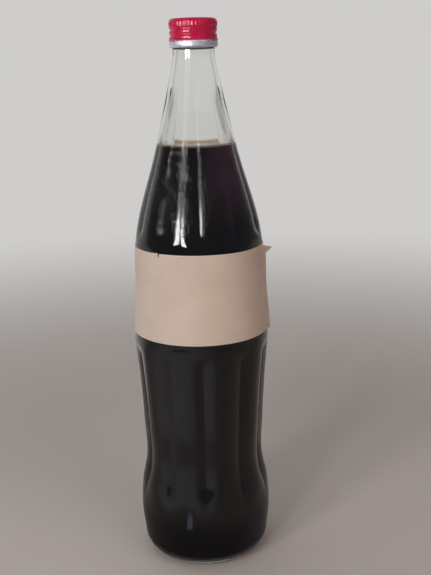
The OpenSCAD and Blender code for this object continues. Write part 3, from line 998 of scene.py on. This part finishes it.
def drink_edge_material():
    """Thin edge of the drink that climbs the glass, where light comes through amber."""
    thin = tuple(bpy.context.scene.bottle_drink.thin)
    pale = tuple(0.5 + c / 2 for c in thin)
    return film_material("drink_edge", (130, 0.35, 0.65, thin, pale), 0.02, 1.03)


def bubble_material():
    tone = (900, 0.35, 0.65, (0.98, 0.90, 0.78), (0.90, 0.74, 0.52))
    return film_material("bubble_film", tone, 0.12, 1.12)


def wear_group():
    """Scratches and smudges for hard surfaces: a wear mask, a roughness value and a height."""
    name = "surface_wear"
    if name in bpy.data.node_groups:
        return bpy.data.node_groups[name]
    tree = bpy.data.node_groups.new(name, "ShaderNodeTree")
    tree.interface.new_socket("Vector", in_out="INPUT", socket_type="NodeSocketVector")
    for key, value in (("Grain", 400.0), ("Dull", 0.3), ("Spread", 0.15)):
        socket = tree.interface.new_socket(key, in_out="INPUT", socket_type="NodeSocketFloat")
        socket.default_value = value
    for key in ("Wear", "Roughness", "Height"):
        tree.interface.new_socket(key, in_out="OUTPUT", socket_type="NodeSocketFloat")
    inside = tree.nodes.new("NodeGroupInput").outputs
    smudge = noise(tree, inside["Vector"], 90, 3.0, 0.6)
    grain = noise(tree, inside["Vector"], inside["Grain"], 3.0)
    spread = product(tree, maths(tree, "SUBTRACT", smudge, 0.5), inside["Spread"])
    put(
        tree.nodes.new("NodeGroupOutput"),
        {
            "Wear": mapped(tree, product(tree, smudge, grain), 0.27, 0.42),
            "Roughness": maths(tree, "ADD", inside["Dull"], spread),
            "Height": grain,
        },
    )
    return tree


def add_wear(tree, place, grain, dull, spread):
    inputs = {"Vector": place, "Grain": grain, "Dull": dull, "Spread": spread}
    node = add_node(tree, "Group", {}, node_tree=wear_group())
    put(node, inputs)
    return node.outputs


# Heights between which the lacquer thins out at the cap's cut edge
CUT_EDGE = (CAP_LOW + 0.1 * MM, CAP_LOW + 0.35 * MM)
RUBBED_TONE = (0.7, 0.16, 0.22)


def lacquer_material():
    """Crimson lacquer, rubbed paler in places and thin at the cut edge."""
    cap = bpy.context.scene.bottle_cap
    material, tree, shader, place = new_material("crimson_lacquer")
    wear = add_wear(tree, place, 1400, 0.28, 0.12)
    patch = mapped(tree, noise(tree, place, 220, 3.0), 0.35, 0.65)
    tone = mixed(tree, patch, cap.colour, scaled(cap.colour, 0.84))
    rubbed = mixed(tree, product(tree, wear["Wear"], 0.10), tone, RUBBED_TONE)
    z = split_place(tree, place)[2]
    edge = maths(tree, "SUBTRACT", 1.0, mapped(tree, z, *CUT_EDGE))
    put(
        shader,
        {
            "Base Color": mixed(tree, product(tree, edge, 0.6), rubbed, cap.metal),
            "Roughness": wear["Roughness"],
            "Coat Roughness": 0.12,
            "Coat Weight": 0.3,
            "Specular IOR Level": 0.3,
            "Normal": bump(tree, wear["Height"], 0.02 * MM, 0.6),
        },
    )
    return material


def bare_metal_material(name, dull):
    """Bare aluminium with rolling lines around it."""
    metal = bpy.context.scene.bottle_cap.metal
    material, tree, shader, place = new_material(name)
    wear = add_wear(tree, place, 900, dull, 0.2)
    rolling = noise(tree, place, 500, 2.0, 0.5, (0.15, 0.15, 3.0))
    put(
        shader,
        {
            "Base Color": mixed(tree, wear["Wear"], metal, scaled(metal, 0.72)),
            "Metallic": 0.75,
            "Roughness": wear["Roughness"],
            "Normal": bump(tree, rolling, 0.03 * MM, 0.5),
        },
    )
    return material


# Heights over which the pale rim of the paper comes in at the top, and goes at the bottom
RIM_HIGH = (PAPER_HIGH - 0.7 * MM, PAPER_HIGH - 0.2 * MM)
RIM_LOW = (PAPER_LOW + 0.15 * MM, PAPER_LOW + 0.5 * MM)
RIM_TONE = (0.78, 0.69, 0.62)


def paper_material(name, tint):
    """Uncoated paper, with its colour made lighter or darker by the tint."""
    material, tree, shader, place = new_material(name)
    light = scaled(bpy.context.scene.bottle_paper.colour, tint)
    patch = mapped(tree, noise(tree, place, 60, 4.0, 0.6), 0.35, 0.68)
    tone = mixed(tree, patch, light, scaled(light, 0.94))
    fibre = noise(tree, place, 1500, 4.0, 0.65, (1.0, 1.0, 2.6))
    tone = mixed(tree, mapped(tree, fibre, 0.56, 0.75, 0.0, 0.16), tone, scaled(light, 1.3))
    z = split_place(tree, place)[2]
    low_rim = maths(tree, "SUBTRACT", 1.0, mapped(tree, z, *RIM_LOW))
    rims = maths(tree, "MAXIMUM", mapped(tree, z, *RIM_HIGH), low_rim)
    creases = bump(tree, noise(tree, place, 45), 0.3 * MM, 0.5)
    put(
        shader,
        {
            "Base Color": mixed(tree, product(tree, rims, 0.45), tone, RIM_TONE),
            "Roughness": 0.86,
            "Specular IOR Level": 0.25,
            "Sheen Weight": 0.08,
            "Normal": bump(tree, fibre, 0.06 * MM, 0.8, creases),
        },
    )
    return material


def liner_material():
    material, tree, shader, place = new_material("liner_foam")
    cells = mapped(tree, noise(tree, place, 2600, 3.0, 0.7), 0.35, 0.7)
    tone = mixed(tree, cells, (0.8, 0.79, 0.74), (0.62, 0.6, 0.55))
    put(shader, {"Base Color": tone, "Roughness": 0.7, "Normal": bump(tree, cells, 0.05 * MM)})
    return material


def glue_material():
    material, tree, shader, place = new_material("dried_glue")
    streaks = mapped(tree, noise(tree, place, 500, 3.0, 0.6, (1.0, 1.0, 0.2)), 0.35, 0.7)
    tone = mixed(tree, streaks, (0.72, 0.66, 0.52), (0.5, 0.42, 0.28))
    dull = mapped(tree, streaks, 0.0, 1.0, 0.25, 0.6)
    put(shader, {"Base Color": tone, "Roughness": dull, "Normal": bump(tree, streaks, 0.06 * MM)})
    return material


# Stage

WINDOW_AWAY = 0.9
PANES = (("left_pane", 8.0, 11.5), ("right_pane", -7.5, 9.0))
PANE_LOW, PANE_HIGH = 0.28, 0.75
PANE_FADE, PANE_TONE, PANE_DIM = (0.45, 0.60), (1.0, 0.99, 0.98), 1.5
LAMP_LOW, LAMP_TALL, LAMP_TARGET, LAMP_TONE = 0.238, 0.356, (0, 0, 0.22), (1.0, 0.985, 0.97)
MIDDLE = (0, 0, 0.2)
FILL_PLACE, FILL_SIZE, FILL_TONE = (1.2, -1.3, 1.1), (1.2, 1.2), (1.0, 0.77, 0.60)
TOP_PLACE, TOP_SIZE = (-0.3, 0.2, 1.8), (1.4, 1.4)
SENSOR, CLIP = 36.0, (0.02, 20.0)

# Distances from the bottle over which the floor fades into the backdrop, for camera rays
FLOOR_FADE = (0.22, 1.1)
# What surfaces mirror of the floor is a painted reflection: a painted contact shadow close to the
# bottle and its tone further out, the wall's foot behind it to the left and right, and a painted sheen
# and glint of the window
CONTACT_SHADE_REACH, CONTACT_SHADE_TONE, FLOOR_TONE = (0.045, 0.14), (0.11, 0.10, 0.095), (0.27, 0.24, 0.225)
WALL_SLANT, WALL_REACH, WALL_SPLIT = 0.15, (0.17, 0.28), (0.0, 0.06)
WALL_LEFT, WALL_RIGHT = (0.55, 0.53, 0.51), (0.34, 0.30, 0.27)
SHEEN_TURN, SHEEN_SPREAD, SHEEN_REACH = 0.09, (0.55, 1.0), (0.13, 0.22)
SHEEN_TONE, SHEEN_SHARE = (0.74, 0.72, 0.74), 0.5
GLINT_TURN, GLINT_SPREAD, GLINT_REACH = -0.165, (0.9965, 0.9995), (0.165, 0.12)
GLINT_CLOSE, GLINT_TONE = (0.083, 0.098), (0.85, 0.9, 1.1)

# What surfaces mirror of the room, and what glass shows to the sides and towards the camera
ROOM_SLANT, ROOM_REACH = 0.3, (0.45, 0.75)
ROOM_FRONT, ROOM_BEHIND = (0.16, 0.158, 0.178), (0.57, 0.555, 0.54)
SIDE_REACH, SIDE_TONE = (0.55, 0.9), (0.36, 0.35, 0.335)
AHEAD_REACH, AHEAD_TONE = (0.3, -0.25), (0.165, 0.16, 0.165)


def ray_masks(tree):
    """Masks for camera rays, for those and rays through glass, and for mirrored rays."""
    path = add_node(tree, "LightPath", {}).outputs
    seen = maths(tree, "MAXIMUM", path["Is Camera Ray"], path["Is Transmission Ray"])
    mirrored = product(tree, path["Is Glossy Ray"], maths(tree, "SUBTRACT", 1.0, seen))
    return path["Is Camera Ray"], seen, mirrored


def area_light(name, place, target, size, power, colour=(1, 1, 1)):
    """Soft rectangular light that no surface mirrors."""
    data = bpy.data.lights.new(name, "AREA")
    data.shape = "RECTANGLE"
    data.size, data.size_y = size
    data.energy = power
    data.color = colour
    light = bpy.data.objects.new(name, data)
    light.location = place
    light.rotation_euler = (Vector(target) - Vector(place)).to_track_quat("-Z", "Y").to_euler()
    light.visible_glossy = light.visible_camera = light.visible_transmission = False
    bpy.context.collection.objects.link(light)


def emission(tree, colour, strength=1.0):
    return add_node(tree, "Emission", {"Color": colour, "Strength": strength}).outputs[0]


def blended(tree, factor, a, b):
    return add_node(tree, "MixShader", {0: factor, 1: a, 2: b}).outputs[0]


def toward(tree, place, distance, turn):
    """Cosine between the direction of a place on the floor and one turned to the camera's left."""
    inputs = {0: place, 1: (-sin(turn), -cos(turn), 0.0)}
    along = add_node(tree, "VectorMath", inputs, operation="DOT_PRODUCT").outputs["Value"]
    return maths(tree, "DIVIDE", along, distance)


def pane_material(stage):
    """Glow that falls off towards the top of the window."""
    material, tree, _, place = new_material("window_pane")
    z = split_place(tree, place)[2]
    glow = emission(tree, PANE_TONE, mapped(tree, z, *PANE_FADE, stage.window, PANE_DIM))
    put(tree.nodes["Material Output"], {"Surface": glow})
    return material


def painted_floor_reflection(tree, place, distance, stage):
    """Painted reflection of the floor as surfaces mirror it, with its painted contact shadow, sheen
    and glint.
    """
    x, y, _ = split_place(tree, place)
    # Painted contact shadow: what surfaces mirror of the floor is darker close to the bottle
    plain = mixed(tree, mapped(tree, distance, *CONTACT_SHADE_REACH), CONTACT_SHADE_TONE, FLOOR_TONE)
    back = maths(tree, "SUBTRACT", y, product(tree, x, WALL_SLANT))
    wall = mixed(tree, mapped(tree, x, *WALL_SPLIT), WALL_LEFT, WALL_RIGHT)
    walled = mixed(tree, mapped(tree, back, *WALL_REACH), plain, wall)
    # Painted sheen and painted glint of the window on the floor, as surfaces mirror it
    sheen = product(
        tree,
        mapped(tree, toward(tree, place, distance, stage.window_turn + SHEEN_TURN), *SHEEN_SPREAD),
        mapped(tree, distance, *SHEEN_REACH),
    )
    glint = product(
        tree,
        mapped(tree, toward(tree, place, distance, stage.window_turn + GLINT_TURN), *GLINT_SPREAD),
        mapped(tree, distance, *GLINT_REACH),
    )
    glint = product(tree, glint, mapped(tree, distance, *GLINT_CLOSE))
    lit = mixed(tree, product(tree, sheen, SHEEN_SHARE), walled, SHEEN_TONE)
    return mixed(tree, glint, lit, GLINT_TONE)


def floor_material(stage):
    """Matte floor that fades into the backdrop far out; mirrored rays see a painted reflection of it
    instead.
    """
    material, tree, shader, place = new_material("pale_floor")
    put(shader, {"Base Color": stage.floor, "Roughness": 0.9, "Specular IOR Level": 0.1})
    distance = add_node(tree, "VectorMath", {0: place}, operation="LENGTH").outputs["Value"]
    _, seen, mirrored = ray_masks(tree)
    far = product(tree, mapped(tree, distance, *FLOOR_FADE), seen)
    plain = blended(tree, far, shader.outputs[0], emission(tree, stage.backdrop))
    # Emission that only mirrored rays see: a painted reflection of the floor
    painted_reflection = emission(tree, painted_floor_reflection(tree, place, distance, stage))
    put(tree.nodes["Material Output"], {"Surface": blended(tree, mirrored, plain, painted_reflection)})
    return material


def set_camera(context, stage):
    data = bpy.data.cameras.new("camera")
    data.lens, data.sensor_width = stage.lens, SENSOR
    data.clip_start, data.clip_end = CLIP
    camera = bpy.data.objects.new("camera", data)
    context.collection.objects.link(camera)
    across, down = cos(stage.pitch), -sin(stage.pitch)
    forward = Vector((sin(stage.heading) * across, cos(stage.heading) * across, down))
    level = Vector((cos(stage.heading), -sin(stage.heading), 0.0))
    above = level.cross(forward)
    right = cos(stage.roll) * level + sin(stage.roll) * above
    up = cos(stage.roll) * above - sin(stage.roll) * level
    place = Matrix((right, up, -forward)).transposed().to_4x4()
    place.translation = Vector(stage.camera)
    camera.matrix_world = place
    context.scene.camera = camera


def set_window(stage):
    """For each pane, a lamp that casts its light and a sheet that surfaces mirror."""
    for name, turn, wide in PANES:
        angle = stage.window_turn + radians(turn)
        x, y = -WINDOW_AWAY * sin(angle), -WINDOW_AWAY * cos(angle)
        width = 2 * WINDOW_AWAY * tan(radians(wide / 2))
        power = stage.window_lamp * pi * width * LAMP_TALL
        place = (x, y, LAMP_LOW + LAMP_TALL / 2)
        area_light(name + "_lamp", place, LAMP_TARGET, (width, LAMP_TALL), power, LAMP_TONE)
        deselect_all()
        bpy.ops.mesh.primitive_plane_add(
            size=1.0,
            location=(x, y, (PANE_LOW + PANE_HIGH) / 2),
            rotation=(radians(90), 0, -angle),
        )
        pane = bpy.context.object
        pane.name = name
        pane.scale = (width, PANE_HIGH - PANE_LOW, 1.0)
        settle(pane)
        dress(pane, pane_material(stage))
        pane.visible_camera = pane.visible_diffuse = pane.visible_shadow = False
        pane.visible_transmission = False


def set_world(context, stage):
    """Plain backdrop for the camera, and a room for what surfaces mirror and glass shows."""
    world = bpy.data.worlds.new("studio")
    context.scene.world = world
    world.use_nodes = True
    tree = world.node_tree
    x, y, _ = split_place(tree, add_node(tree, "TexCoord", {}).outputs["Generated"])
    back = maths(tree, "SUBTRACT", y, product(tree, x, ROOM_SLANT))
    room = mixed(tree, mapped(tree, back, *ROOM_REACH), ROOM_FRONT, ROOM_BEHIND)
    aside = mapped(tree, maths(tree, "ABSOLUTE", x, 0), *SIDE_REACH)
    through = mixed(tree, aside, stage.backdrop, SIDE_TONE)
    through = mixed(tree, mapped(tree, y, *AHEAD_REACH), through, AHEAD_TONE)
    camera, seen, _ = ray_masks(tree)
    around = mixed(tree, seen, room, through)
    put(
        tree.nodes["Background"],
        {"Color": mixed(tree, camera, around, stage.backdrop), "Strength": 1.0},
    )


class BOTTLE_OT_stage(Operator):
    """Set up the floor, the backdrop, the lights and the camera"""

    bl_idname = "bottle.stage"
    bl_label = "Stage"

    def execute(self, context):
        stage = context.scene.bottle_stage
        deselect_all()
        bpy.ops.mesh.primitive_circle_add(
            vertices=96, radius=stage.floor_r, fill_type="NGON", location=(0, 0, 0)
        )
        floor = bpy.context.object
        floor.name = "floor"
        dress(floor, floor_material(stage))
        set_world(context, stage)
        set_window(stage)
        area_light("fill", FILL_PLACE, MIDDLE, FILL_SIZE, stage.fill, FILL_TONE)
        area_light("top", TOP_PLACE, MIDDLE, TOP_SIZE, stage.top)
        set_camera(context, stage)
        context.scene.view_settings.view_transform = "Standard"
        return {"FINISHED"}


class BOTTLE_PT_panel(Panel):
    """Sizes, colours and the steps that build the bottle"""

    bl_idname = "BOTTLE_PT_panel"
    bl_label = "Lobed Soda Bottle"
    bl_space_type = "VIEW_3D"
    bl_region_type = "UI"
    bl_category = "Bottle"

    def draw(self, context):
        layout = self.layout
        for group in SETTINGS:
            box = layout.box()
            for key in group[1].__annotations__:
                box.prop(getattr(context.scene, group[0]), key)
        for operator in OPERATORS:
            layout.operator(operator.bl_idname)


SETTINGS = (
    ("bottle_glass", GlassSettings),
    ("bottle_drink", DrinkSettings),
    ("bottle_cap", CapSettings),
    ("bottle_paper", PaperSettings),
    ("bottle_stage", StageSettings),
)
OPERATORS = (
    BOTTLE_OT_glass,
    BOTTLE_OT_drink,
    BOTTLE_OT_cap,
    BOTTLE_OT_band,
    BOTTLE_OT_paper,
    BOTTLE_OT_plain_parts,
    BOTTLE_OT_stage,
)


def register():
    for name, group in SETTINGS:
        bpy.utils.register_class(group)
        setattr(bpy.types.Scene, name, PointerProperty(type=group))
    for operator in OPERATORS:
        bpy.utils.register_class(operator)
    bpy.utils.register_class(BOTTLE_PT_panel)


def unregister():
    bpy.utils.unregister_class(BOTTLE_PT_panel)
    for operator in reversed(OPERATORS):
        bpy.utils.unregister_class(operator)
    for name, group in reversed(SETTINGS):
        delattr(bpy.types.Scene, name)
        bpy.utils.unregister_class(group)


def main():
    register()
    bpy.ops.bottle.glass()
    bpy.ops.bottle.drink()
    bpy.ops.bottle.cap()
    bpy.ops.bottle.band()
    bpy.ops.bottle.paper()
    bpy.ops.bottle.plain_parts()
    bpy.ops.bottle.stage()


if __name__ == "__main__":
    main()
